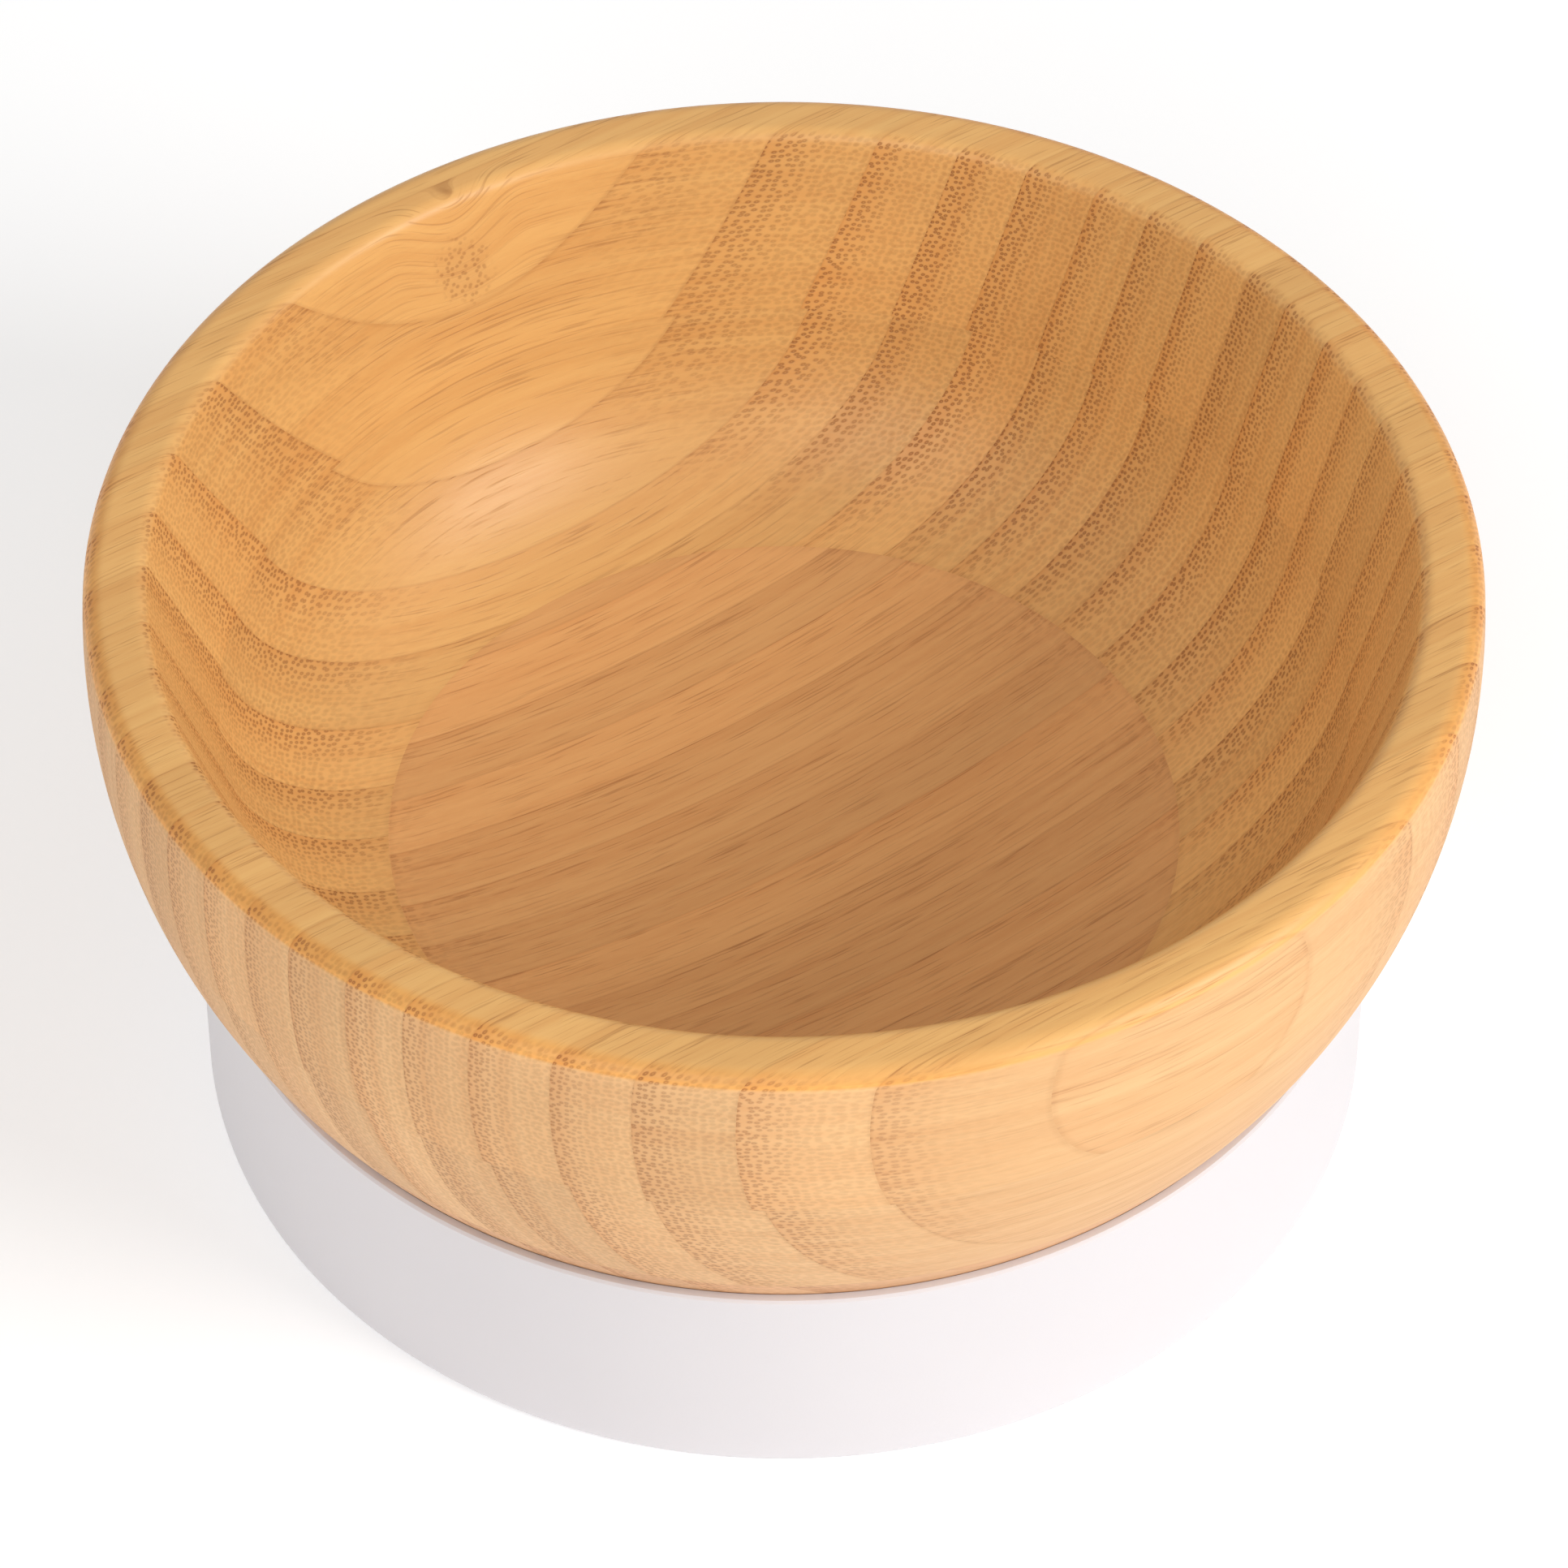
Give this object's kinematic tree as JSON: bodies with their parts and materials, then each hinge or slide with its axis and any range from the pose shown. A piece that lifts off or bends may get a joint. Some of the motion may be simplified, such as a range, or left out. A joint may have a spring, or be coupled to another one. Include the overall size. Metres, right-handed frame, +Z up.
{
  "type": "suction bowl",
  "caption": "Round laminated-bamboo bowl for a small child, seated in a soft silicone suction base that grips a table and lifts off for washing.",
  "frame": {"origin": "middle of the base's resting face, on the table", "axes": "+Z up along the bowl's axis; the bamboo's grain runs 33.5 degrees from +X towards +Y"},
  "size_m": [0.13, 0.13, 0.063],
  "materials": {
    "bamboo": "sanded and oiled satin, end grain dotted, long grain streaked",
    "silicone": "soft matte white silicone"
  },
  "bodies": {
    "base": {"suction_base": "silicone"},
    "bowl": {"bowl_top_board": "bamboo", "bowl_middle_board": "bamboo", "bowl_bottom_board": "bamboo"}
  },
  "joints": [
    {"name": "bowl_lift", "type": "slide", "parent": "base", "child": "bowl", "axis": [0, 0, 1], "range_m": [0, 0.025]}
  ]
}
